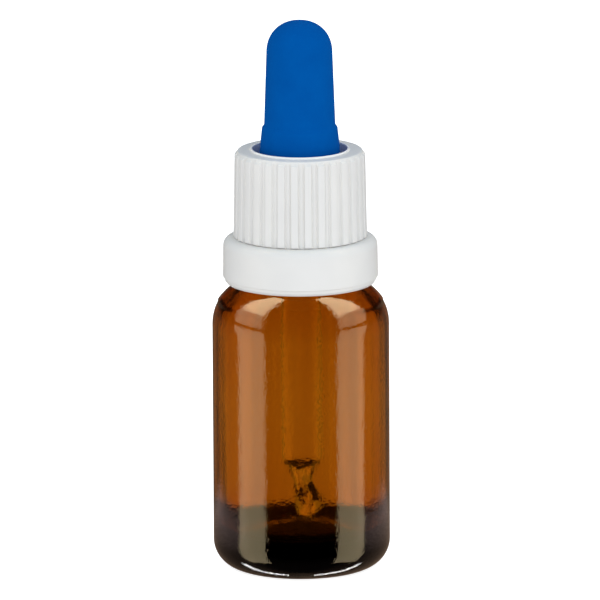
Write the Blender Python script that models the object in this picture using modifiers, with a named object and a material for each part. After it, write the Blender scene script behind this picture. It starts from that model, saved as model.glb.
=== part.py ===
"""Amber glass dropper bottle: bottle, tamper ring, screw cap, rubber teat and glass pipette.

Units are metres. The bottle stands on z = 0 with its axis on Z, and the pipette's
ball tip is bent towards +X. Profiles are (radius, height) points in millimetres.
"""

import math

import bmesh
import bpy
from mathutils import Matrix, Vector

MM = 0.001
GAP = 0.3  # clearance between neighbouring pieces, mm

# Bottle
BODY_R = 12.5
WALL = 1.6
HEEL_R = 3.8
PUSH_UP = 1.2
CONTACT_INNER_R = 6.9
FLOOR_CENTRE_Z = 6.0
FLOOR_EDGE_Z = 5.4
FLOOR_CORNER_R = 3.0
SHOULDER_Z = 35.1
SHOULDER_R = 6.5
NECK_R = 6.9
NECK_BORE_R = 5.3
MOUTH_Z = 57.2
BEAD_Z = 44.8
BEAD_SECTION_R = 0.7
BEAD_R = 8.6

# Screw thread, right-hand, on the neck and inside the cap
PITCH = 3.0
THREAD_TURNS = 1.75
THREAD_Z = 48.3
GLASS_THREAD_R = 0.8
CAP_THREAD_R = 0.65
CAP_THREAD_Z = THREAD_Z + 0.5 * PITCH

# Screw cap
CAP_TOP_Z = 60.1
CAP_RIM = 0.25
CAP_BOTTOM_Z = 48.05
CAP_WALL_TOP_R = 8.9
CAP_WALL_BOTTOM_R = 9.1
CAP_EDGE_R = 0.35
CAP_INNER_R = 8.0
CAP_PLATE = 1.2
CAP_HOLE_R = 6.7
RIBS = 30
RIB_SECTION_R = 0.5
RIB_TOP_Z = 59.7
RIB_CREST_TOP_R = 9.2
RIB_CREST_BOTTOM_R = 9.45

# Tamper ring
RING_BOTTOM_Z = 41.15
RING_TOP_Z = 47.55
RING_R = 10.9
RING_STEP_Z = 42.0
RING_ROUND = 1.2
RING_INNER_R = BEAD_R + GAP + 0.05
HOOK_R = 8.1
BRIDGES = 10
BRIDGE_SIZE = (0.5, 0.4, 0.4)

# Rubber teat
TEAT_TOP_Z = 78.65
TEAT_DOME_R = 4.65
TEAT_STEP_Z = 63.4
TEAT_STEP_R = 5.1
COLLAR_TOP_R = 5.3
COLLAR_BOTTOM_R = 5.7
TEAT_WALL = 0.9
FLANGE_R = 7.7
PLUG_BOTTOM_Z = 55.2
PLUG_R = 4.6

# Glass pipette
PIPETTE_TOP_Z = 61.6
PIPETTE_R = 2.8
PIPETTE_BORE_R = 1.9
FUNNEL_Z = 15.8
TIP_BORE_R = 0.5

SIDES = 48
TEAT_SIDES = 36
THREAD_POINTS_PER_TURN = 28

MATERIALS = {
    "amber_glass": ((0.23, 0.055, 0.004, 1.0), 0.03, 0.0),
    "clear_glass": ((0.80, 0.82, 0.80, 1.0), 0.02, 0.0),
    "white_plastic": ((0.80, 0.80, 0.79, 1.0), 0.35, 0.0),
    "blue_rubber": ((0.0, 0.09, 0.40, 1.0), 0.65, 0.0),
}


def clear_scene():
    """Remove every object, so that the file holds only this model."""
    for obj in list(bpy.data.objects):
        bpy.data.objects.remove(obj, do_unlink=True)


def new_collection(name):
    """Make a collection in the scene."""
    collection = bpy.data.collections.new(name)
    bpy.context.scene.collection.children.link(collection)
    return collection


def make_materials():
    """Make one Principled material for each entry of MATERIALS."""
    made = {}
    for name, (colour, roughness, metallic) in MATERIALS.items():
        material = bpy.data.materials.new(name)
        material.use_nodes = True
        shader = material.node_tree.nodes["Principled BSDF"]
        shader.inputs["Base Color"].default_value = colour
        shader.inputs["Roughness"].default_value = roughness
        shader.inputs["Metallic"].default_value = metallic
        if "glass" in name:
            shader.inputs["Transmission Weight"].default_value = 0.8
        made[name] = material
    return made


def arc(centre, radius, start, end, count):
    """Points on an arc of a profile, from start to end in degrees from the +radius direction."""
    steps = [start + (end - start) * i / count for i in range(count + 1)]
    return [
        (
            centre[0] + radius * math.cos(math.radians(a)),
            centre[1] + radius * math.sin(math.radians(a)),
        )
        for a in steps
    ]


def turned(name, profile, collection, material=None, closed=False, sides=SIDES):
    """Turn a profile about Z. It runs down its outer side, and up its inner side."""
    points = [(r * MM, 0.0, z * MM) for r, z in profile]
    edges = [(i, i + 1) for i in range(len(points) - 1)]
    if closed:
        edges.append((len(points) - 1, 0))
    mesh = bpy.data.meshes.new(name)
    mesh.from_pydata(points, edges, [])
    obj = bpy.data.objects.new(name, mesh)
    if material:
        mesh.materials.append(material)
    collection.objects.link(obj)
    screw = obj.modifiers.new("Turn", "SCREW")
    screw.axis = "Z"
    screw.steps = sides
    screw.render_steps = sides
    screw.use_merge_vertices = True
    screw.merge_threshold = 0.00001
    screw.use_smooth_shade = True
    return obj


def tube(name, points, radii, collection, bevel_resolution=3):
    """A capped tube through points, with its own radius at each, as a mesh object."""
    curve = bpy.data.curves.new(name + "_path", "CURVE")
    curve.dimensions = "3D"
    curve.bevel_depth = MM
    curve.bevel_resolution = bevel_resolution
    curve.use_fill_caps = True
    spline = curve.splines.new("POLY")
    spline.points.add(len(points) - 1)
    for point, place, radius in zip(spline.points, points, radii):
        point.co = (place[0] * MM, place[1] * MM, place[2] * MM, 1.0)
        point.radius = radius
    path = bpy.data.objects.new(name + "_path", curve)
    collection.objects.link(path)
    bpy.context.view_layer.update()
    evaluated = path.evaluated_get(bpy.context.evaluated_depsgraph_get())
    mesh = bpy.data.meshes.new_from_object(evaluated)
    work = bmesh.new()
    work.from_mesh(mesh)
    bmesh.ops.remove_doubles(work, verts=work.verts, dist=0.000001)
    work.to_mesh(mesh)
    work.free()
    obj = bpy.data.objects.new(name, mesh)
    obj.matrix_world = path.matrix_world.copy()
    collection.objects.link(obj)
    bpy.data.objects.remove(path, do_unlink=True)
    bpy.data.curves.remove(curve)
    return obj


def as_cutter(obj):
    """Keep an object as an operand only, out of the finished model."""
    obj.hide_render = True
    obj.display_type = "WIRE"
    return obj


def boolean(obj, other, operation):
    """Join or cut an object with another, which stays as an operand."""
    modifier = obj.modifiers.new(other.name, "BOOLEAN")
    modifier.operation = operation
    modifier.solver = "EXACT"
    modifier.object = as_cutter(other)


def smooth_stations(stations, per_span):
    """Catmull-Rom interpolation of equally long tuples, with per_span steps between two."""
    ends = [stations[0]] + list(stations) + [stations[-1]]
    out = []
    for i in range(1, len(ends) - 2):
        before, here, there, after = ends[i - 1 : i + 3]
        for step in range(per_span):
            t = step / per_span
            out.append(
                tuple(
                    0.5
                    * (
                        2 * b
                        + (c - a) * t
                        + (2 * a - 5 * b + 4 * c - d) * t * t
                        + (3 * b - a - 3 * c + d) * t ** 3
                    )
                    for a, b, c, d in zip(before, here, there, after)
                )
            )
    out.append(tuple(stations[-1]))
    return out


def helix(name, radius, section_r, start_z, collection):
    """A right-hand thread ridge of THREAD_TURNS turns that fades out at both ends."""
    count = int(THREAD_TURNS * THREAD_POINTS_PER_TURN)
    fade = THREAD_POINTS_PER_TURN // 5
    points = []
    radii = []
    for i in range(count + 1):
        angle = 2 * math.pi * i / THREAD_POINTS_PER_TURN
        height = start_z + PITCH * i / THREAD_POINTS_PER_TURN
        points.append((radius * math.cos(angle), radius * math.sin(angle), height))
        near_end = min(i, count - i, fade) / fade
        radii.append(section_r * (0.35 + 0.65 * near_end))
    return tube(name, points, radii, collection, bevel_resolution=2)


def bottle_profile():
    """From the middle of the inner floor, up inside, over the mouth, and down outside."""
    inner_r = BODY_R - WALL
    corner = (inner_r - FLOOR_CORNER_R, FLOOR_EDGE_Z + FLOOR_CORNER_R)
    shoulder = (BODY_R - SHOULDER_R, SHOULDER_Z)
    neck_angle = math.degrees(math.acos((NECK_R + 0.4 - shoulder[0]) / SHOULDER_R))
    bead = (BEAD_R - BEAD_SECTION_R, BEAD_Z)
    profile = [(0.0, FLOOR_CENTRE_Z), (4.0, FLOOR_CENTRE_Z - 0.15)]
    profile += arc(corner, FLOOR_CORNER_R, -90, 0, 4)
    profile += arc(shoulder, SHOULDER_R - WALL, 0, 84, 5)
    profile += [(NECK_BORE_R + 0.25, SHOULDER_Z + SHOULDER_R - WALL + 0.7)]
    profile += [(NECK_BORE_R, SHOULDER_Z + SHOULDER_R - WALL + 1.5)]
    profile += [(NECK_BORE_R, MOUTH_Z - 0.3), (NECK_BORE_R + 0.3, MOUTH_Z)]
    profile += [(NECK_R - 0.3, MOUTH_Z), (NECK_R, MOUTH_Z - 0.3)]
    profile += [(NECK_R, BEAD_Z + 1.0)]
    profile += arc(bead, BEAD_SECTION_R, 80, -80, 4)
    profile += [(NECK_R, BEAD_Z - 1.1), (NECK_R, SHOULDER_Z + SHOULDER_R + 0.5)]
    profile += arc(shoulder, SHOULDER_R, neck_angle, 0, 6)
    profile += arc((BODY_R - HEEL_R, HEEL_R), HEEL_R, 0, -90, 5)
    profile += [(CONTACT_INNER_R, 0.0), (4.5, 0.75 * PUSH_UP), (0.0, PUSH_UP)]
    return profile


def make_bottle(parts, cutters, material):
    """The moulded glass bottle with its thread and the bead that holds the tamper ring."""
    bottle = turned("bottle", bottle_profile(), parts, material)
    ridge = helix("neck_thread", NECK_R, GLASS_THREAD_R, THREAD_Z, cutters)
    boolean(bottle, ridge, "UNION")
    return bottle


def ring_profile():
    """The band's section: the top, the outside, the lip, and the hook under the bead."""
    profile = [(RING_INNER_R, RING_TOP_Z)]
    profile += arc(
        (RING_R - RING_ROUND, RING_TOP_Z - RING_ROUND), RING_ROUND, 90, 0, 4
    )
    profile += [(RING_R + 0.07, RING_STEP_Z), (RING_R - 0.1, RING_STEP_Z - 0.1)]
    profile += [(RING_R - 0.75, RING_BOTTOM_Z), (RING_R - 0.95, RING_BOTTOM_Z + 0.05)]
    profile += [(RING_INNER_R + 0.1, RING_BOTTOM_Z + 0.75)]
    profile += [(HOOK_R, BEAD_Z - 2.5), (HOOK_R, BEAD_Z - 1.1)]
    profile += [(RING_INNER_R, BEAD_Z - 0.7)]
    return profile


def make_tamper_ring(parts, cutters, material):
    """The band left on the neck when the cap is first opened, with its broken bridges."""
    ring = turned("tamper_ring", ring_profile(), parts, material, closed=True)
    work = bmesh.new()
    across, along, height = BRIDGE_SIZE
    for i in range(BRIDGES):
        turn = Matrix.Rotation(2 * math.pi * (i + 0.5) / BRIDGES, 4, "Z")
        place = Vector(((RING_INNER_R + 0.35) * MM, 0.0, RING_TOP_Z * MM))
        size = Matrix.Diagonal((across * MM, along * MM, height * MM, 1.0))
        bmesh.ops.create_cube(
            work, size=1.0, matrix=turn @ Matrix.Translation(place) @ size
        )
    mesh = bpy.data.meshes.new("bridges")
    work.to_mesh(mesh)
    work.free()
    bridges = bpy.data.objects.new("bridges", mesh)
    cutters.objects.link(bridges)
    boolean(ring, bridges, "UNION")
    return ring


def cap_profile():
    """The cap's section: rim of the hole, top face, plain wall, and the threaded inside."""
    plate_bottom = CAP_TOP_Z - CAP_PLATE
    profile = [(CAP_HOLE_R, plate_bottom), (CAP_HOLE_R, CAP_TOP_Z + CAP_RIM)]
    profile += [(CAP_HOLE_R + 0.3, CAP_TOP_Z + CAP_RIM), (CAP_HOLE_R + 0.4, CAP_TOP_Z)]
    edge = (CAP_WALL_TOP_R - CAP_EDGE_R, CAP_TOP_Z - CAP_EDGE_R)
    profile += arc(edge, CAP_EDGE_R, 90, 0, 3)
    profile += [(CAP_WALL_BOTTOM_R, CAP_BOTTOM_Z), (CAP_INNER_R + 0.25, CAP_BOTTOM_Z)]
    profile += [(CAP_INNER_R, CAP_BOTTOM_Z + 0.3), (CAP_INNER_R, plate_bottom)]
    return profile


def make_ribs(cutters):
    """The grip ribs around the cap, each a slightly leaning round bar sunk in the wall."""
    work = bmesh.new()
    height = RIB_TOP_Z - CAP_BOTTOM_Z
    lean = math.atan((RIB_CREST_BOTTOM_R - RIB_CREST_TOP_R) / height)
    middle_r = 0.5 * (RIB_CREST_TOP_R + RIB_CREST_BOTTOM_R) - RIB_SECTION_R
    middle = Vector((middle_r * MM, 0.0, 0.5 * (RIB_TOP_Z + CAP_BOTTOM_Z) * MM))
    for i in range(RIBS):
        turn = Matrix.Rotation(2 * math.pi * i / RIBS, 4, "Z")
        tilt = Matrix.Rotation(-lean, 4, "Y")
        bmesh.ops.create_cone(
            work,
            cap_ends=True,
            segments=12,
            radius1=RIB_SECTION_R * MM,
            radius2=RIB_SECTION_R * MM,
            depth=height * MM,
            matrix=turn @ Matrix.Translation(middle) @ tilt,
        )
    mesh = bpy.data.meshes.new("ribs")
    work.to_mesh(mesh)
    work.free()
    ribs = bpy.data.objects.new("ribs", mesh)
    cutters.objects.link(ribs)
    return ribs


def make_screw_cap(parts, cutters, material):
    """The ribbed cap with a round hole for the teat and a thread inside."""
    cap = turned("screw_cap", cap_profile(), parts, material, closed=True)
    boolean(cap, make_ribs(cutters), "UNION")
    ridge = helix("cap_thread", CAP_INNER_R, CAP_THREAD_R, CAP_THREAD_Z, cutters)
    boolean(cap, ridge, "UNION")
    return cap


def teat_profile():
    """From the top of the dome down the outside, round the flange and plug, up inside."""
    flange_top = CAP_TOP_Z - CAP_PLATE - GAP
    dome_z = TEAT_TOP_Z - TEAT_DOME_R
    bore_r = PIPETTE_R + GAP
    inner_r = TEAT_DOME_R - TEAT_WALL
    profile = arc((0.0, dome_z), TEAT_DOME_R, 90, 0, 7)
    profile += [(TEAT_STEP_R, TEAT_STEP_Z + 0.2), (COLLAR_TOP_R, TEAT_STEP_Z - 0.2)]
    profile += [(COLLAR_BOTTOM_R, flange_top + 0.2), (COLLAR_BOTTOM_R + 0.2, flange_top)]
    profile += [(FLANGE_R, flange_top), (FLANGE_R, MOUTH_Z + GAP)]
    profile += [(PLUG_R, MOUTH_Z + GAP), (PLUG_R - 0.2, PLUG_BOTTOM_Z)]
    profile += [(bore_r, PLUG_BOTTOM_Z), (bore_r, PIPETTE_TOP_Z + 0.4)]
    profile += [(TEAT_STEP_R - TEAT_WALL, PIPETTE_TOP_Z + 1.6)]
    profile += arc((0.0, dome_z), inner_r, 0, 90, 6)
    return profile


def make_rubber_bulb(parts, material):
    """The hollow teat that is squeezed, with the flange that seals on the bottle's mouth."""
    return turned("rubber_bulb", teat_profile(), parts, material, sides=TEAT_SIDES)


def tip_stations():
    """(x, z, radius) of the bent ball tip, from the end of the straight tube downwards."""
    return [
        (0.0, FUNNEL_Z, PIPETTE_R),
        (0.0, 14.9, 2.55),
        (0.0, 13.7, 1.75),
        (0.03, 12.5, 1.42),
        (0.25, 11.2, 1.65),
        (0.6, 9.9, 2.08),
        (0.8, 8.8, 2.1),
        (0.9, 7.7, 1.6),
        (0.95, 6.95, 0.75),
    ]


def make_glass_pipette(parts, cutters, material):
    """The drawn glass tube with its funnel, bent ball tip and fine outlet."""
    stations = smooth_stations(tip_stations(), 2)
    points = [(0.0, 0.0, PIPETTE_TOP_Z)] + [(x, 0.0, z) for x, z, _ in stations]
    radii = [PIPETTE_R] + [r for _, _, r in stations]
    pipette = tube("glass_pipette", points, radii, parts, bevel_resolution=7)
    pipette.data.materials.clear()
    pipette.data.materials.append(material)
    above = (0.0, 0.0, PIPETTE_TOP_Z + 1.0)
    below = (0.98, 0.0, 6.4)
    bore_points = [above] + [(x, 0.0, z) for x, z, _ in stations] + [below]
    wall = PIPETTE_R - PIPETTE_BORE_R
    bore_radii = [PIPETTE_BORE_R]
    bore_radii += [max(TIP_BORE_R, r - wall) if z > 13.0 else TIP_BORE_R for _, z, r in stations]
    bore_radii += [TIP_BORE_R]
    bore = tube("pipette_bore", bore_points, bore_radii, cutters, bevel_resolution=4)
    boolean(pipette, bore, "DIFFERENCE")
    pipette.data.shade_smooth()
    return pipette


def main():
    """Build every piece of the dropper bottle."""
    clear_scene()
    parts = new_collection("dropper_bottle")
    cutters = new_collection("cutters")
    materials = make_materials()
    make_bottle(parts, cutters, materials["amber_glass"])
    make_tamper_ring(parts, cutters, materials["white_plastic"])
    make_screw_cap(parts, cutters, materials["white_plastic"])
    make_rubber_bulb(parts, materials["blue_rubber"])
    make_glass_pipette(parts, cutters, materials["clear_glass"])


main()
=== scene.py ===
"""The look of an amber dropper bottle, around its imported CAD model.

Lengths are in millimetres inside the script and become metres in the meshes. Each
piece is a profile of (radius, height) points turned about Z, or a swept tube, and it
takes its place and its main sizes from the CAD node that it stands for.
"""

import math

import bpy
import numpy as np
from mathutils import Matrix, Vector


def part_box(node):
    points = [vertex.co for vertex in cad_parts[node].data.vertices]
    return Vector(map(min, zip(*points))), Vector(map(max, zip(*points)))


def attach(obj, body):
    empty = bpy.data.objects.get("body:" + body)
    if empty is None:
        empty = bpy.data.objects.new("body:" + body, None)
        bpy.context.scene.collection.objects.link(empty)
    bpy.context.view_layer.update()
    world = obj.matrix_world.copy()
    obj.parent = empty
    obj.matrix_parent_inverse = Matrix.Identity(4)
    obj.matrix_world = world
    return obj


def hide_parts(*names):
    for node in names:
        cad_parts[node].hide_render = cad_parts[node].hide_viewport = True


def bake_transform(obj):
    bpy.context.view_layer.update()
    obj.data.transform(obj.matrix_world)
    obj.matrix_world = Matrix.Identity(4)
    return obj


MM = 0.001

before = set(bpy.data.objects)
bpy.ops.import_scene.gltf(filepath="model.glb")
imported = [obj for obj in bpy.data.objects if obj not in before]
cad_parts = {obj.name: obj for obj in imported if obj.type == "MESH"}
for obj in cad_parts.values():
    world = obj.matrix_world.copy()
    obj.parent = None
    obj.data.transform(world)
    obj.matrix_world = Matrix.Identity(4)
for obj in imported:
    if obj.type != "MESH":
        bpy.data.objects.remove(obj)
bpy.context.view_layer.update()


def box_mm(node):
    """Lowest and highest corner of a CAD node, in millimetres."""
    return [np.array(corner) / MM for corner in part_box(node)]


_, BOTTLE_HIGH = box_mm("bottle")
RING_LOW, RING_HIGH = box_mm("tamper_ring")
_, CAP_HIGH = box_mm("screw_cap")
_, TEAT_HIGH = box_mm("rubber_bulb")
_, TUBE_HIGH = box_mm("glass_pipette")

# Bottle. The inner floor rises by FLOOR_RISE to its middle, as the foot does by PUSH_UP.
BODY_R = BOTTLE_HIGH[0]
MOUTH_Z = BOTTLE_HIGH[2]
WALL = 1.6
HEEL_R = 4.0
PUSH_UP = 1.2
FOOT_INNER_R = 6.9
FOOT_OUTER_R = 8.3
FLOOR_Z = 4.6
FLOOR_RISE = 1.8
FLOOR_CORNER_R = 2.4
SHOULDER_Z = 35.1
SHOULDER_R = 6.5
SHOULDER_DROP = 0.9
NECK_R = 6.9
NECK_BORE_R = 5.3
BEAD_Z = 44.8
BEAD_R = 8.6
PITCH = 3.0
THREAD_TURNS = 1.75
THREAD_Z = 48.3

# Cap and ring
LIP_HEIGHT = 0.25
CAP_TOP_Z = CAP_HIGH[2] - LIP_HEIGHT
CAP_FOOT_Z = RING_HIGH[2] - 0.08
RIBS = 30
RIB_PHASE = math.radians(7.0)
RIB_HEIGHT = 0.38
RIB_MID_R = 9.2
GROOVE_DEPTH = 0.09
RING_TOP_Z = RING_HIGH[2] - 0.09
RING_STEP_Z = 42.0
RING_R = RING_HIGH[0] - 0.07

# Teat
TEAT_TOP_Z = TEAT_HIGH[2]
FLANGE_TOP_Z = 58.6

# Pipette
TUBE_R = 2.8
TUBE_BORE_R = 2.58


# ---------------------------------------------------------------- profiles and meshes


def unit(v):
    """The vector at length 1."""
    return v / np.linalg.norm(v)


def arc(centre, radius, start, end, steps):
    """Points on an arc of a profile, with angles in degrees from the outward direction."""
    turn = np.radians(np.linspace(start, end, steps + 1))
    return [
        (centre[0] + radius * math.cos(a), centre[1] + radius * math.sin(a))
        for a in turn
    ]


def rounded(corners, steps=5, closed=True):
    """Profile through (r, z, rounding) corners, each replaced by an arc of its rounding."""
    out = []
    count = len(corners)
    for i, (r, z, rounding) in enumerate(corners):
        here = np.array((r, z), float)
        if rounding == 0 or (not closed and i in (0, count - 1)):
            out.append((r, z))
            continue
        u = unit(np.array(corners[i - 1][:2]) - here)
        v = unit(np.array(corners[(i + 1) % count][:2]) - here)
        half = 0.5 * math.acos(max(-1.0, min(1.0, float(u @ v))))
        centre = here + unit(u + v) * rounding / math.sin(half)
        start = here + u * rounding / math.tan(half) - centre
        end = here + v * rounding / math.tan(half) - centre
        sweep = math.pi - 2 * half
        for k in range(steps + 1):
            t = k / steps
            point = math.sin((1 - t) * sweep) * start + math.sin(t * sweep) * end
            out.append(tuple(centre + point / math.sin(sweep)))
    return out


def refined(profile, spacing, closed=False):
    """The profile with long straight runs divided. spacing(r, z) is the longest step."""
    ends = profile[1:] + profile[:1] if closed else profile[1:]
    out = []
    for (r0, z0), (r1, z1) in zip(profile, ends):
        step = spacing(0.5 * (r0 + r1), 0.5 * (z0 + z1))
        count = max(1, math.ceil(math.hypot(r1 - r0, z1 - z0) / step))
        out += [
            (r0 + (r1 - r0) * k / count, z0 + (z1 - z0) * k / count)
            for k in range(count)
        ]
    return out if closed else out + [profile[-1]]


def grid_mesh(name, rows, closed):
    """A mesh over rows of points round the axis. A row of one point is a pole."""
    verts = np.concatenate(rows) * MM
    starts = np.cumsum([0] + [len(row) for row in rows])
    faces = []
    pairs = list(zip(range(len(rows) - 1), range(1, len(rows))))
    if closed:
        pairs.append((len(rows) - 1, 0))
    for i, j in pairs:
        a = starts[i] + np.arange(len(rows[i]))
        b = starts[j] + np.arange(len(rows[j]))
        if len(a) > 1 and len(b) > 1:
            faces += np.stack([a, np.roll(a, -1), np.roll(b, -1), b], 1).tolist()
        elif len(b) > 1:
            faces += [[a[0], q, p] for p, q in zip(b.tolist(), np.roll(b, -1).tolist())]
        else:
            faces += [[b[0], p, q] for p, q in zip(a.tolist(), np.roll(a, -1).tolist())]
    mesh = bpy.data.meshes.new(name)
    mesh.from_pydata(verts.tolist(), [], faces)
    mesh.calc_loop_triangles()
    corners = np.empty(len(mesh.loop_triangles) * 3, int)
    mesh.loop_triangles.foreach_get("vertices", corners)
    p, q, s = verts[corners.reshape(-1, 3)].transpose(1, 0, 2)
    if np.einsum("ij,ij->i", p, np.cross(q, s)).sum() < 0:
        mesh.flip_normals()
    mesh.shade_smooth()
    return mesh


def add_piece(name, mesh, material):
    """An object in the scene for a mesh."""
    mesh.materials.append(material)
    piece = bpy.data.objects.new(name, mesh)
    bpy.context.scene.collection.objects.link(piece)
    return piece


def turned(name, profile, angles, shape=None, closed=True):
    """Turn a profile about Z at the given angles. shape(r, z, angle) gives the moved r, z."""
    r, z = (np.array(axis, float)[:, None] for axis in zip(*profile))
    angle = np.array(angles, float)[None, :]
    r, z, angle = (np.array(x) for x in np.broadcast_arrays(r, z, angle))
    moved_r, moved_z = shape(r, z, angle) if shape else (r, z)
    points = np.stack(
        [moved_r * np.cos(angle), moved_r * np.sin(angle), moved_z], axis=2
    )
    rows = [row[:1] if r[i, 0] < 1e-6 else row for i, row in enumerate(points)]
    return grid_mesh(name, rows, closed)


def even_angles(count):
    """Angles of a full turn in equal steps."""
    return np.linspace(0, 2 * math.pi, count, endpoint=False)


def smoothstep(low, high, x):
    """0 below low, 1 above high, and a smooth rise between them, whichever is larger."""
    t = np.clip((x - low) / (high - low), 0, 1)
    return t * t * (3 - 2 * t)


def thread(z, angle, start_z, height, half_width):
    """Height of a right-hand thread ridge over the wall, zero away from it."""
    along = angle / (2 * math.pi)
    lag = (z - start_z) / PITCH - along
    turn = np.round(lag)
    off = (lag - turn) * PITCH
    place = along + turn
    ends = smoothstep(0, 0.22, place) * smoothstep(THREAD_TURNS, THREAD_TURNS - 0.22, place)
    ridge = np.cos(0.5 * math.pi * np.clip(off / half_width, -1, 1)) ** 2
    return height * ends * ridge


# ---------------------------------------------------------------- materials


def new_material(name):
    """An empty node material and its Principled shader."""
    material = bpy.data.materials.new(name)
    material.use_nodes = True
    nodes = material.node_tree.nodes
    shader = nodes["Principled BSDF"]
    return material, nodes, material.node_tree.links, shader


def noise(nodes, links, coords, scale, detail=2.0, roughness=0.5):
    """A noise texture in the piece's own coordinates, with scale in features per metre."""
    texture = nodes.new("ShaderNodeTexNoise")
    texture.inputs["Scale"].default_value = scale
    texture.inputs["Detail"].default_value = detail
    texture.inputs["Roughness"].default_value = roughness
    links.new(coords, texture.inputs["Vector"])
    return texture.outputs["Fac"]


def between(nodes, links, value, low, high):
    """0 where a value is below low, 1 above high, and even between them."""
    node = nodes.new("ShaderNodeMapRange")
    node.inputs["From Min"].default_value = low
    node.inputs["From Max"].default_value = high
    links.new(value, node.inputs["Value"])
    return node.outputs["Result"]


def along_axes(nodes, links, coords):
    """The x, y and z of some coordinates."""
    split = nodes.new("ShaderNodeSeparateXYZ")
    links.new(coords, split.inputs[0])
    return split.outputs


def product(nodes, links, a, b):
    """Two values multiplied."""
    node = nodes.new("ShaderNodeMath")
    node.operation = "MULTIPLY"
    links.new(a, node.inputs[0])
    links.new(b, node.inputs[1])
    return node.outputs[0]


def off_axis(nodes, links, coords):
    """Distance from the piece's upright axis, in metres."""
    level = nodes.new("ShaderNodeVectorMath")
    level.operation = "MULTIPLY"
    level.inputs[1].default_value = (1.0, 1.0, 0.0)
    links.new(coords, level.inputs[0])
    length = nodes.new("ShaderNodeVectorMath")
    length.operation = "LENGTH"
    links.new(level.outputs["Vector"], length.inputs[0])
    return length.outputs["Value"]


def bump(nodes, links, height, distance, normal=None):
    """A bump node of the given depth in metres, on top of another normal."""
    node = nodes.new("ShaderNodeBump")
    node.inputs["Strength"].default_value = 1.0
    node.inputs["Distance"].default_value = distance
    links.new(height, node.inputs["Height"])
    if normal:
        links.new(normal, node.inputs["Normal"])
    return node.outputs["Normal"]


def ramp(nodes, links, value, stops):
    """A colour ramp over (position, colour) stops."""
    node = nodes.new("ShaderNodeValToRGB")
    elements = node.color_ramp.elements
    while len(elements) < len(stops):
        elements.new(0.5)
    for element, (position, colour) in zip(elements, stops):
        element.position = position
        element.color = (*colour, 1.0)
    links.new(value, node.inputs["Fac"])
    return node.outputs["Color"]


def glass_material(name, density, tint, ripple, ior):
    """Clear or coloured glass: colour comes from the depth of glass that light crosses.

    The surface waves gently. On the bottle's wall it has a finer ripple and grain too.
    """
    material, nodes, links, shader = new_material(name)
    shader.inputs["Base Color"].default_value = (1.0, 1.0, 1.0, 1.0)
    shader.inputs["Roughness"].default_value = 0.0
    shader.inputs["IOR"].default_value = ior
    shader.inputs["Transmission Weight"].default_value = 1.0
    absorb = nodes.new("ShaderNodeVolumeAbsorption")
    absorb.inputs["Color"].default_value = (*tint, 1.0)
    absorb.inputs["Density"].default_value = density
    links.new(
        absorb.outputs["Volume"], nodes["Material Output"].inputs["Volume"]
    )
    coords = nodes.new("ShaderNodeTexCoord").outputs["Object"]
    on_wall = between(nodes, links, off_axis(nodes, links, coords), 9.6 * MM, 10.4 * MM)
    wide = noise(nodes, links, coords, 330, detail=1.0)
    fine = noise(nodes, links, coords, 2500, detail=1.0)
    grain = noise(nodes, links, coords, 6000, detail=2.0)
    normal = bump(nodes, links, wide, ripple * 1.6)
    for height, depth in ((fine, ripple * 2.0), (grain, ripple * 0.5)):
        masked = product(nodes, links, height, on_wall)
        normal = bump(nodes, links, masked, depth, normal)
    links.new(normal, shader.inputs["Normal"])
    return material


def plastic_material(name):
    """White moulded plastic: a satin skin with mould grain, and a painted highlight: the cap's
    thin rim round the hole is pure white.
    """
    material, nodes, links, shader = new_material(name)
    coords = nodes.new("ShaderNodeTexCoord").outputs["Object"]
    cloud = noise(nodes, links, coords, 160, detail=3.0)
    colour = ramp(
        nodes,
        links,
        cloud,
        [(0.30, (0.812, 0.811, 0.807)), (0.70, (0.842, 0.841, 0.837))],
    )
    # Painted highlight: the thin rim above the cap's top face is coloured pure white, as if lit
    up = along_axes(nodes, links, coords)["Z"]
    above = between(nodes, links, up, (CAP_TOP_Z + 0.03) * MM, (CAP_TOP_Z + 0.08) * MM)
    rim_highlight = nodes.new("ShaderNodeMix")
    rim_highlight.data_type = "RGBA"
    links.new(above, rim_highlight.inputs[0])
    links.new(colour, rim_highlight.inputs[6])
    rim_highlight.inputs[7].default_value = (1.0, 1.0, 1.0, 1.0)
    links.new(rim_highlight.outputs[2], shader.inputs["Base Color"])
    grain = noise(nodes, links, coords, 5200, detail=2.0)
    rough = ramp(nodes, links, grain, [(0.3, (0.36,) * 3), (0.7, (0.46,) * 3)])
    links.new(rough, shader.inputs["Roughness"])
    shader.inputs["IOR"].default_value = 1.49
    shader.inputs["Specular IOR Level"].default_value = 0.15
    normal = bump(nodes, links, grain, 0.0045 * MM)
    links.new(normal, shader.inputs["Normal"])
    return material


def rubber_material(name):
    """Blue rubber: matt, with a fine powdery grain and slight unevenness of colour."""
    material, nodes, links, shader = new_material(name)
    coords = nodes.new("ShaderNodeTexCoord").outputs["Object"]
    cloud = noise(nodes, links, coords, 240, detail=4.0, roughness=0.6)
    colour = ramp(
        nodes,
        links,
        cloud,
        [(0.30, (0.0, 0.086, 0.375)), (0.70, (0.0, 0.098, 0.410))],
    )
    links.new(colour, shader.inputs["Base Color"])
    grain = noise(nodes, links, coords, 3800, detail=3.0, roughness=0.65)
    rough = ramp(nodes, links, grain, [(0.3, (0.62,) * 3), (0.7, (0.74,) * 3)])
    links.new(rough, shader.inputs["Roughness"])
    shader.inputs["Specular IOR Level"].default_value = 0.01
    normal = bump(nodes, links, grain, 0.012 * MM)
    links.new(normal, shader.inputs["Normal"])
    return material


AMBER = glass_material("amber_glass_clear", 2000.0, (0.83, 0.60, 0.0), 0.010 * MM, 1.52)
CLEAR = glass_material("pipette_glass_clear", 12.0, (0.80, 0.90, 0.84), 0.001 * MM, 1.28)
WHITE = plastic_material("white_moulded_plastic")
BLUE = rubber_material("blue_matt_rubber")


# ---------------------------------------------------------------- pieces


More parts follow.
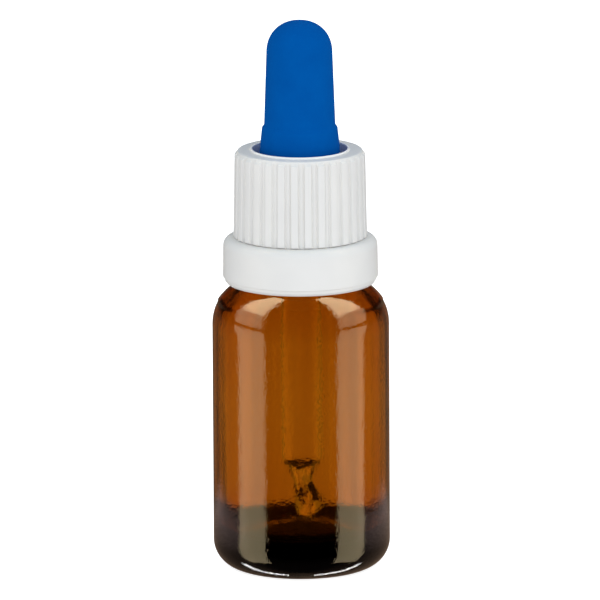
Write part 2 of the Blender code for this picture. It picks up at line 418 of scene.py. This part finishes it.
def bottle_profile():
    """From the middle of the inner floor up inside, over the mouth, and down outside."""
    inner_r = BODY_R - WALL
    corner = (inner_r - FLOOR_CORNER_R, FLOOR_Z + FLOOR_CORNER_R)
    shoulder = (BODY_R - SHOULDER_R, SHOULDER_Z)
    inner_shoulder = (shoulder[0] - WALL, SHOULDER_Z - SHOULDER_DROP)
    dome_r = corner[0] - 0.1
    inside = [
        (dome_r * t, FLOOR_Z + FLOOR_RISE * (1 - t * t)) for t in np.linspace(0, 0.96, 13)
    ]
    inside += arc(corner, FLOOR_CORNER_R, -90, 0, 16)
    inside += [(inner_r + 0.05, 15.0), (inner_r + 0.10, 24.0), (inner_r, 31.0)]
    inside += arc(inner_shoulder, SHOULDER_R, 0, 75, 24)
    inside += rounded(
        [
            (5.95, SHOULDER_Z + 5.43, 0),
            (NECK_BORE_R, SHOULDER_Z + 5.9, 0.5),
            (NECK_BORE_R, MOUTH_Z, 0.35),
            (NECK_R, MOUTH_Z, 0.35),
            (NECK_R, BEAD_Z + 0.9, 0.25),
            (BEAD_R - 0.4, BEAD_Z + 0.55, 0.3),
            (BEAD_R, BEAD_Z, 0.3),
            (BEAD_R - 0.4, BEAD_Z - 0.55, 0.3),
            (NECK_R, BEAD_Z - 0.9, 0.25),
            (NECK_R, SHOULDER_Z + SHOULDER_R + 0.1, 0.5),
            (7.4, SHOULDER_Z + 6.32, 0),
        ],
        closed=False,
    )
    outside = arc(shoulder, SHOULDER_R, 74, 0, 26)
    outside += arc((BODY_R - HEEL_R, HEEL_R), HEEL_R, 0, -90, 20)
    outside += rounded(
        [(FOOT_OUTER_R, 0.0, 0), (FOOT_INNER_R, 0.0, 0.8), (5.2, 0.75, 2.0), (0.0, PUSH_UP, 0)],
        closed=False,
    )[1:]
    return inside + outside


def bottle_shape(r, z, angle):
    """The thread on the neck, uneven walls, and the gripping marks under the foot."""
    outer_neck = (r > 6.0) & (z > 46.3) & (z < MOUTH_Z - 0.4)
    r = r + np.where(outer_neck, thread(z, angle, THREAD_Z, 0.8, 0.95), 0)
    body = smoothstep(7.0, 11.0, z) * smoothstep(41.0, 36.0, z)
    inner = (r < BODY_R - WALL / 2) & (r > 6.5)
    wave = 0.14 * (1 + np.cos(2 * angle)) + 0.035 * np.cos(5 * angle + 0.06 * z)
    wave += 0.018 * np.cos(13 * angle + 2.1 + 0.05 * z)
    wave += 0.010 * np.cos(31 * angle + 0.4)
    r = r + np.where(inner, wave * body, 0)
    foot = (z < 0.02) & (r > FOOT_INNER_R + 0.05) & (r < FOOT_OUTER_R - 0.05)
    marks = 0.5 + 0.5 * np.tanh(4 * np.cos(48 * angle))
    z = z + np.where(foot, 0.10 * marks, 0)
    return r, z


def make_bottle():
    """The moulded amber bottle."""
    def spacing(r, z):
        if z > 46.3 and r > 6.0:
            return 0.16
        return 0.25 if z < 0.2 and r > 6.5 else 0.9

    profile = refined(bottle_profile(), spacing)
    mesh = turned("bottle_glass", profile, even_angles(288), bottle_shape, closed=False)
    bottle = add_piece("bottle_glass", mesh, AMBER)
    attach(bottle, "bottle")
    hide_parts("bottle")


def make_ring():
    """The smooth tamper band, with a stepped lower edge and the hook inside."""
    corners = [
        (8.95, RING_TOP_Z, 0.15),
        (RING_R, RING_TOP_Z, 1.25),
        (RING_R + 0.06, RING_STEP_Z, 0.08),
        (RING_R - 0.16, RING_STEP_Z - 0.06, 0.03),
        (RING_R - 0.17, RING_LOW[2] + 0.40, 0.25),
        (RING_R - 0.48, RING_LOW[2], 0.15),
        (RING_R - 0.78, RING_LOW[2], 0.12),
        (RING_R - 0.95, 42.6, 0.4),
        (8.1, 42.9, 0.1),
        (8.1, 43.6, 0.15),
        (8.95, 44.2, 0.2),
    ]
    profile = refined(rounded(corners, steps=8), lambda r, z: 1.2, closed=True)
    mesh = turned("tamper_band", profile, even_angles(240))
    ring = add_piece("tamper_band", mesh, WHITE)
    ring.visible_glossy = False
    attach(ring, "ring")
    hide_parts("tamper_ring")


def rib_angles():
    """Angles round the cap, close together on the flanks of the ribs."""
    offsets = [1.4, 2.4, 2.7, 2.95, 3.2, 3.45, 3.7, 4.0, 4.3, 4.7, 5.2]
    pattern = [-d for d in reversed(offsets)] + [0.0] + offsets + [6.0]
    pitch = 360.0 / RIBS
    turns = [pitch * k + d * pitch / 12.0 for k in range(RIBS) for d in pattern]
    return np.radians(np.array(turns)) + RIB_PHASE - math.pi / 2


def cap_shape(r, z, angle):
    """Flat-topped grip ribs with a fine groove along each side, and the inner thread."""
    fall = np.clip((CAP_TOP_Z - z) / (CAP_TOP_Z - CAP_FOOT_Z), 0, 1)
    pitch = 2 * math.pi / RIBS
    place = (angle - RIB_PHASE + math.pi / 2) / pitch
    across = np.abs(place - np.round(place)) * pitch * RIB_MID_R
    rib = smoothstep(0.58, 0.45, across)
    top_end = smoothstep(CAP_TOP_Z - 0.22, CAP_TOP_Z - 0.68, z)
    foot_end = smoothstep(CAP_FOOT_Z - 0.05, CAP_FOOT_Z + 0.20, z)
    outer = (r > 8.5) & (z < CAP_TOP_Z - 0.15)
    relief = (RIB_HEIGHT + 0.06 * fall) * rib * top_end * foot_end
    groove = GROOVE_DEPTH * np.exp(-(((across - 0.68) / 0.08) ** 2)) * top_end
    r = r + np.where(outer, relief - groove, 0)
    inner = (r < 8.15) & (z < 58.0) & (z > 48.6)
    return r - np.where(inner, thread(z, angle, THREAD_Z + 1.5, 0.62, 0.8), 0), z


def make_cap():
    """The ribbed cap, open at the top round the teat and threaded inside."""
    plate_z = CAP_TOP_Z - 1.2
    corners = [
        (6.72, plate_z, 0.1),
        (6.72, CAP_TOP_Z + LIP_HEIGHT, 0.06),
        (6.96, CAP_TOP_Z + LIP_HEIGHT, 0.06),
        (7.02, CAP_TOP_Z, 0.06),
        (8.86, CAP_TOP_Z, 0.24),
        (9.02, CAP_FOOT_Z, 0.03),
        (8.3, CAP_FOOT_Z, 0.1),
        (8.0, CAP_FOOT_Z + 0.4, 0.1),
        (8.0, plate_z, 0.4),
    ]

    def spacing(r, z):
        if r > 8.6:
            near_end = min(abs(z - CAP_FOOT_Z), abs(z - CAP_TOP_Z)) < 1.5
            return 0.09 if near_end else 2.0
        return 0.26 if 48.6 < z < 57.6 and r > 7.5 else 1.5

    edge = refined(rounded(corners, steps=6), lambda r, z: 1.45, closed=True)
    profile = refined(edge, spacing, closed=True)
    mesh = turned("cap_shell", profile, rib_angles(), cap_shape)
    cap = add_piece("cap_shell", mesh, WHITE)
    cap.visible_glossy = False
    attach(cap, "cap")
    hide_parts("screw_cap")


def teat_profile():
    """From the top of the dome down outside, round the flange and plug, and up inside."""
    dome_r, dome_z = 4.66, TEAT_TOP_Z - 4.65
    power = 2.0 / 2.18
    dome = [
        (
            dome_r * math.sin(a) ** power,
            dome_z + (TEAT_TOP_Z - dome_z) * max(math.cos(a), 0.0) ** power,
        )
        for a in np.radians(np.linspace(0, 90, 31))
    ]
    outside = rounded(
        [
            (dome_r, dome_z, 0),
            (5.03, 63.72, 0.16),
            (5.34, 63.30, 0.30),
            (5.60, 60.9, 3.0),
            (5.75, FLANGE_TOP_Z, 0.25),
            (7.7, FLANGE_TOP_Z, 0.2),
            (7.7, 57.5, 0.2),
            (4.7, 57.5, 0.25),
            (4.4, 55.2, 0.3),
            (3.1, 55.2, 0.1),
            (3.1, 62.0, 0.2),
            (4.15, 63.3, 0.5),
            (3.75, dome_z, 0),
        ],
        closed=False,
    )[1:]
    inside = arc((0.0, dome_z), 3.75, 0, 90, 16)[1:]
    return dome + outside + inside


def make_teat():
    """The rubber teat. Its dome is pressed down over the part held by the cap."""
    profile = teat_profile()
    profile[-1] = (0.0, profile[-1][1])
    profile[0] = (0.0, profile[0][1])
    profile = refined(profile, lambda r, z: 0.4)
    mesh = turned("teat", profile, even_angles(160), closed=False)
    teat = add_piece("teat", mesh, BLUE)
    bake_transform(teat)
    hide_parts("rubber_bulb")


def smooth_path(stations, per_span):
    """Catmull-Rom interpolation of rows of numbers, with per_span steps between two."""
    p = np.array([stations[0]] + list(stations) + [stations[-1]], float)
    t = (np.arange(per_span) / per_span)[:, None]
    spans = []
    for a, b, c, d in zip(p, p[1:], p[2:], p[3:]):
        cubic = (3 * b - a - 3 * c + d) * t**3
        spans.append(
            0.5 * (2 * b + (c - a) * t + (2 * a - 5 * b + 4 * c - d) * t * t + cubic)
        )
    return np.concatenate(spans + [p[-1:]])


def make_pipette():
    """The drawn glass tube: straight, then a funnel, a neck and a bent ball tip."""
    top_z = TUBE_HIGH[2]
    # x, z, outer radius and bore radius, downwards
    stations = [
        (0.00, 19.0, TUBE_R, TUBE_BORE_R),
        (0.00, 17.0, TUBE_R, TUBE_BORE_R),
        (0.00, 16.1, TUBE_R, TUBE_BORE_R),
        (0.00, 15.5, 2.72, 2.50),
        (0.00, 15.1, 2.54, 2.26),
        (0.00, 14.8, 2.38, 1.65),
        (0.00, 14.6, 2.27, 0.80),
        (0.00, 14.4, 2.17, 0.46),
        (0.00, 13.9, 1.93, 0.42),
        (0.00, 13.3, 1.66, 0.40),
        (0.03, 12.6, 1.42, 0.38),
        (0.10, 12.0, 1.38, 0.36),
        (0.28, 11.2, 1.52, 0.40),
        (0.56, 10.4, 1.82, 0.50),
        (0.76, 9.5, 2.00, 0.58),
        (0.72, 8.5, 1.88, 0.52),
        (0.58, 7.6, 1.45, 0.42),
        (0.48, 7.0, 0.98, 0.38),
        (0.44, 6.72, 0.74, 0.36),
    ]
    path = smooth_path(stations, 6)
    upper = [(0.0, top_z - 0.15 - k * 2.0, TUBE_R, TUBE_BORE_R) for k in range(21)]
    path = np.array(upper + path.tolist())
    centres = np.stack([path[:, 0], np.zeros(len(path)), path[:, 1]], 1)
    tangents = np.gradient(centres, axis=0)
    tangents /= np.linalg.norm(tangents, axis=1)[:, None]
    sides = np.array((0.0, 1.0, 0.0))
    angle = even_angles(96)

    def loop(centre, tangent, radius):
        across = np.cross(sides, tangent)
        drawn = smoothstep(16.4, 14.5, centre[2]) * smoothstep(6.8, 8.0, centre[2])
        uneven = np.cos(3 * angle + 0.8 * centre[2]) + 0.8 * np.cos(7 * angle - 1.9 * centre[2])
        radius = radius * (1 + 0.030 * drawn * uneven)[:, None]
        return (
            centre
            + radius * np.cos(angle)[:, None] * across
            + radius * np.sin(angle)[:, None] * sides
        )

    outer = [loop(c, t, r) for c, t, r in zip(centres, tangents, path[:, 2])]
    inner = [loop(c, t, r) for c, t, r in zip(centres, tangents, path[:, 3])]
    down = tangents[0]
    mid_r, wall = 0.5 * (TUBE_R + TUBE_BORE_R), 0.5 * (TUBE_R - TUBE_BORE_R)
    lip_top = [
        loop(centres[0] - down * 0.15 * math.sin(a), down, mid_r + wall * math.cos(a))
        for a in np.radians([150, 120, 90, 60, 30])
    ]
    down = tangents[-1]
    lip_tip = [
        loop(centres[-1] + down * 0.16 * math.sin(a), down, 0.58 + 0.2 * math.cos(a))
        for a in np.radians([30, 60, 90, 120, 150])
    ]
    rows = lip_top + outer + lip_tip + inner[::-1]
    pipette = add_piece("pipette_tube", grid_mesh("pipette_tube", rows, True), CLEAR)
    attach(pipette, "dropper")
    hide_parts("glass_pipette")


# ---------------------------------------------------------------- studio

CAMERA_DISTANCE = 2.0
CAMERA_RISE = math.radians(12.3)
VIEW_WIDTH = 0.08475
AIM = Vector((-0.000092, 0.0, 0.0384))
ROLL = math.radians(-0.3)


def make_camera():
    """A long lens from the front, a little above the bottle."""
    data = bpy.data.cameras.new("camera")
    data.sensor_width = 36.0
    data.lens = data.sensor_width * CAMERA_DISTANCE / VIEW_WIDTH
    data.clip_start = 0.05
    data.clip_end = 20.0
    camera = bpy.data.objects.new("camera", data)
    bpy.context.scene.collection.objects.link(camera)
    back = Vector((0.0, -math.cos(CAMERA_RISE), math.sin(CAMERA_RISE)))
    camera.location = AIM + back * CAMERA_DISTANCE
    turn = (-back).to_track_quat("-Z", "Y").to_matrix().to_4x4()
    camera.rotation_euler = turn.to_euler()
    camera.rotation_euler.rotate_axis("Z", ROLL)
    bpy.context.scene.camera = camera


def disc_mesh(name, radii):
    """A flat round sheet on the ground, facing up, with rings at the given radii."""
    turn = even_angles(64)
    rings = [np.stack([r * np.cos(turn), r * np.sin(turn), 0 * turn], 1) for r in radii]
    mesh = grid_mesh(name, [np.zeros((1, 3))] + rings, False)
    if mesh.polygons[0].normal.z < 0:
        mesh.flip_normals()
    return mesh


def hide_from(piece, *rays):
    """Make a stage object invisible to the named kinds of ray."""
    for ray in rays:
        setattr(piece, "visible_" + ray, False)


def make_floor():
    """A wide pale floor that burns out as a studio sweep does."""
    material, _, _, shader = new_material("pale_floor")
    shader.inputs["Base Color"].default_value = (0.9, 0.9, 0.9, 1.0)
    shader.inputs["Roughness"].default_value = 0.9
    shader.inputs["Specular IOR Level"].default_value = 0.0
    shader.inputs["Emission Color"].default_value = (1.0, 1.0, 1.0, 1.0)
    shader.inputs["Emission Strength"].default_value = 0.9
    floor = add_piece("floor", disc_mesh("floor", (30.0, 120.0, 600.0, 3000.0)), material)
    floor.location.z = -0.00002
    hide_from(floor, "diffuse", "glossy", "transmission")


def make_floor_shade():
    """A painted shadow: a dark sheet under the bottle, seen only through the glass, where the
    bottle keeps the light off the floor.
    """
    material, _, _, shader = new_material("shaded_floor")
    shader.inputs["Base Color"].default_value = (0.012, 0.002, 0.0, 1.0)
    shader.inputs["Specular IOR Level"].default_value = 0.0
    shade = add_piece("floor_shade", disc_mesh("floor_shade", (12.0, 31.0)), material)
    shade.location.z = -0.00001
    hide_from(shade, "camera", "diffuse", "glossy", "shadow")


def make_floor_warmth():
    """The warm light on the floor at both sides, which the foot of the bottle mirrors."""
    material, nodes, links, _ = new_material("warm_floor")
    glow = nodes.new("ShaderNodeEmission")
    glow.inputs["Color"].default_value = (1.0, 0.72, 0.70, 1.0)
    place = along_axes(nodes, links, nodes.new("ShaderNodeTexCoord").outputs["Object"])
    aside = nodes.new("ShaderNodeMath")
    aside.operation = "ABSOLUTE"
    links.new(place["X"], aside.inputs[0])

    # Levels at distances in metres, to each side of the middle and from front to back
    sides = [(0.010, 0.03), (0.018, 0.07), (0.023, 0.12), (0.031, 0.3), (0.037, 0.5)]
    sides += [(0.046, 0.5), (0.058, 0.0)]
    depth = [(-0.022, 0.0), (-0.012, 1.0), (0.028, 1.0), (0.042, 0.0)]
    low, high = -0.03, 0.07
    fades = []
    for value, stops in ((aside.outputs[0], sides), (place["Y"], depth)):
        scaled = between(nodes, links, value, low, high)
        stops = [((metres - low) / (high - low), (level,) * 3) for metres, level in stops]
        fades.append(ramp(nodes, links, scaled, stops))
    links.new(product(nodes, links, *fades), glow.inputs["Strength"])

    both = nodes.new("ShaderNodeAddShader")
    links.new(glow.outputs[0], both.inputs[0])
    links.new(nodes.new("ShaderNodeBsdfTransparent").outputs[0], both.inputs[1])
    links.new(both.outputs[0], nodes["Material Output"].inputs["Surface"])
    warm = add_piece("floor_warmth", disc_mesh("floor_warmth", (12.0, 80.0)), material)
    warm.location.z = -0.00003
    hide_from(warm, "camera", "diffuse", "transmission", "shadow")


def make_world():
    """The studio by direction: what lights the bottle, what it mirrors, what shows through.

    Bearings are in degrees from the front, positive to the right, and rises are in
    degrees above the horizon. Curves are lists of (value, level).
    """
    world = bpy.data.worlds.new("studio")
    bpy.context.scene.world = world
    world.use_nodes = True
    nodes, links = world.node_tree.nodes, world.node_tree.links

    def feed(socket, value):
        if isinstance(value, bpy.types.NodeSocket):
            links.new(value, socket)
        else:
            socket.default_value = value

    def maths(operation, a, b=0.0):
        node = nodes.new("ShaderNodeMath")
        node.operation = operation
        feed(node.inputs[0], a)
        feed(node.inputs[1], b)
        return node.outputs[0]

    def curve(value, points):
        """The level at a value, straight between (value, level) points."""
        low, high = points[0][0], points[-1][0]
        top = max(level for _, level in points)
        place = maths("DIVIDE", maths("SUBTRACT", value, low), high - low)
        stops = [((x - low) / (high - low), (level / top,) * 3) for x, level in points]
        return maths("MULTIPLY", ramp(nodes, links, place, stops), top)

    def mixed(blend, factor, a, b):
        node = nodes.new("ShaderNodeMix")
        node.data_type = "RGBA"
        node.blend_type = blend
        for socket, value in zip((node.inputs[0], node.inputs[6], node.inputs[7]), (factor, a, b)):
            feed(socket, value)
        return node.outputs[2]

    split = nodes.new("ShaderNodeSeparateXYZ")
    links.new(nodes.new("ShaderNodeTexCoord").outputs["Generated"], split.inputs[0])
    x, y, z = split.outputs
    sideways = maths("ABSOLUTE", x)
    bearing = maths("DEGREES", maths("ARCTAN2", x, maths("MULTIPLY", y, -1.0)))
    rise = maths("DEGREES", maths("ARCSINE", z))

    # Light on the matt surfaces: mostly from the front, cooler overhead, stronger on the right
    overhead = ramp(
        nodes,
        links,
        maths("ADD", maths("MULTIPLY", z, 0.5), 0.5),
        [
            (0.0, (0.755, 0.747, 0.738)),
            (0.5, (0.755, 0.747, 0.738)),
            (0.65, (0.75, 0.765, 0.77)),
            (1.0, (0.78, 0.87, 0.93)),
        ],
    )
    frontal = curve(y, [(-1, 1.5), (0, 1.0), (1, 0.5)])
    slant = maths("MULTIPLY", x, curve(z, [(-1, 0), (0.1, 0), (0.5, 0.2), (1, 0.2)]))
    strength = maths("MULTIPLY", frontal, maths("ADD", slant, 1.0))
    light = mixed("MULTIPLY", 1.0, overhead, strength)

    # Two tall soft panels, one each side, that lean back. A panel is bounded by how far
    # ahead and how far up a direction goes for each step sideways.
    ahead = maths("DIVIDE", y, maths("MAXIMUM", sideways, 0.001))
    up = maths("DIVIDE", z, maths("MAXIMUM", sideways, 0.001))
    up = maths("MAXIMUM", maths("MINIMUM", up, 8.0), -0.3)
    front_edge = maths(
        "ADD", maths("MULTIPLY", up, 0.2), maths("MULTIPLY", maths("MULTIPLY", up, up), 0.036)
    )
    past_front = maths("SUBTRACT", ahead, maths("ADD", front_edge, -0.84))
    before_back = maths("SUBTRACT", maths("ADD", maths("MULTIPLY", up, 0.37), 0.08), ahead)
    across = maths(
        "MULTIPLY",
        curve(past_front, [(-1, 0), (-0.02, 0), (0.02, 1), (1, 1)]),
        curve(before_back, [(-1, 0), (-0.02, 0), (0.02, 1), (1, 1)]),
    )
    along = curve(
        rise,
        [(-90, 0), (-43, 0), (-40, 1.6), (5.4, 1.6), (6.4, 0), (11.5, 0), (12.5, 1.4)]
        + [(34, 1.6), (42, 4.8), (80, 4.8), (84, 0), (90, 0)],
    )
    strips = mixed("MULTIPLY", 1.0, maths("MULTIPLY", across, along), (1.76, 1.44, 0.86, 1.0))

    # A dim warm room low at the sides
    room = curve(
        bearing,
        [(-180, 0.18), (-140, 0.13), (-92, 0.10), (-60, 0), (60, 0), (92, 0.07)]
        + [(118, 0.16), (180, 0.24)],
    )
    room = maths("MULTIPLY", room, curve(rise, [(-90, 1), (0, 1), (7, 0.12), (90, 0.08)]))
    room = mixed("MULTIPLY", 1.0, room, (1.0, 0.66, 0.42, 1.0))

    # The bright floor just behind, which the rounding of the heel mirrors as a thin line.
    # Its edges are bounded by how far back and how far aside a direction goes for each step down.
    down = maths("MAXIMUM", maths("MULTIPLY", z, -1.0), 0.001)
    back = curve(
        maths("DIVIDE", y, down),
        [(-1, 0), (0.25, 0), (0.29, 12), (0.38, 12), (0.43, 0), (2, 0)],
    )
    aside = curve(
        maths("DIVIDE", sideways, down),
        [(0, 0), (0.12, 0), (0.16, 1), (0.9, 1), (1, 0), (2, 0)],
    )
    gleam = maths("MULTIPLY", back, aside)
    mirrored = mixed("ADD", 1.0, mixed("ADD", 1.0, strips, room), gleam)

    # The white sweep behind, with a dimmer middle, dark above, and less red at its sides
    backdrop = curve(
        sideways,
        [(0, 0.8), (0.045, 0.8), (0.09, 1.2), (0.22, 1.15), (0.3, 0.95), (0.5, 0.7), (1, 0.7)],
    )
    behind = curve(y, [(-1, 0), (0, 0), (0.3, 1), (1, 1)])
    sweep = maths("ADD", maths("MULTIPLY", behind, maths("SUBTRACT", backdrop, 0.6)), 0.6)
    seen_through = maths(
        "MULTIPLY",
        sweep,
        curve(rise, [(-90, 0.6), (-40, 0.8), (-30, 1), (6, 1), (8.5, 0.1), (90, 0.05)]),
    )
    far_side = maths("MULTIPLY", behind, curve(sideways, [(0, 0), (0.15, 0), (0.33, 1), (1, 1)]))
    tint = mixed("MIX", far_side, (1.0, 1.0, 1.0, 1.0), (0.78, 1.0, 0.95, 1.0))
    seen_through = mixed("MULTIPLY", 1.0, tint, seen_through)

    ways = nodes.new("ShaderNodeLightPath").outputs
    colour = mixed("MIX", ways["Is Glossy Ray"], light, mirrored)
    colour = mixed("MIX", ways["Is Transmission Ray"], colour, seen_through)
    colour = mixed("MIX", ways["Is Camera Ray"], colour, (1.0, 1.0, 1.0, 1.0))
    links.new(colour, nodes["Background"].inputs["Color"])


def set_view():
    """Plain colours, and enough bounces for light to cross all the glass."""
    scene = bpy.context.scene
    scene.view_settings.view_transform = "Standard"
    scene.cycles.max_bounces = 24
    scene.cycles.transmission_bounces = 24
    scene.cycles.glossy_bounces = 8


make_bottle()
make_ring()
make_cap()
make_teat()
make_pipette()
make_camera()
make_floor()
make_floor_shade()
make_floor_warmth()
make_world()
set_view()
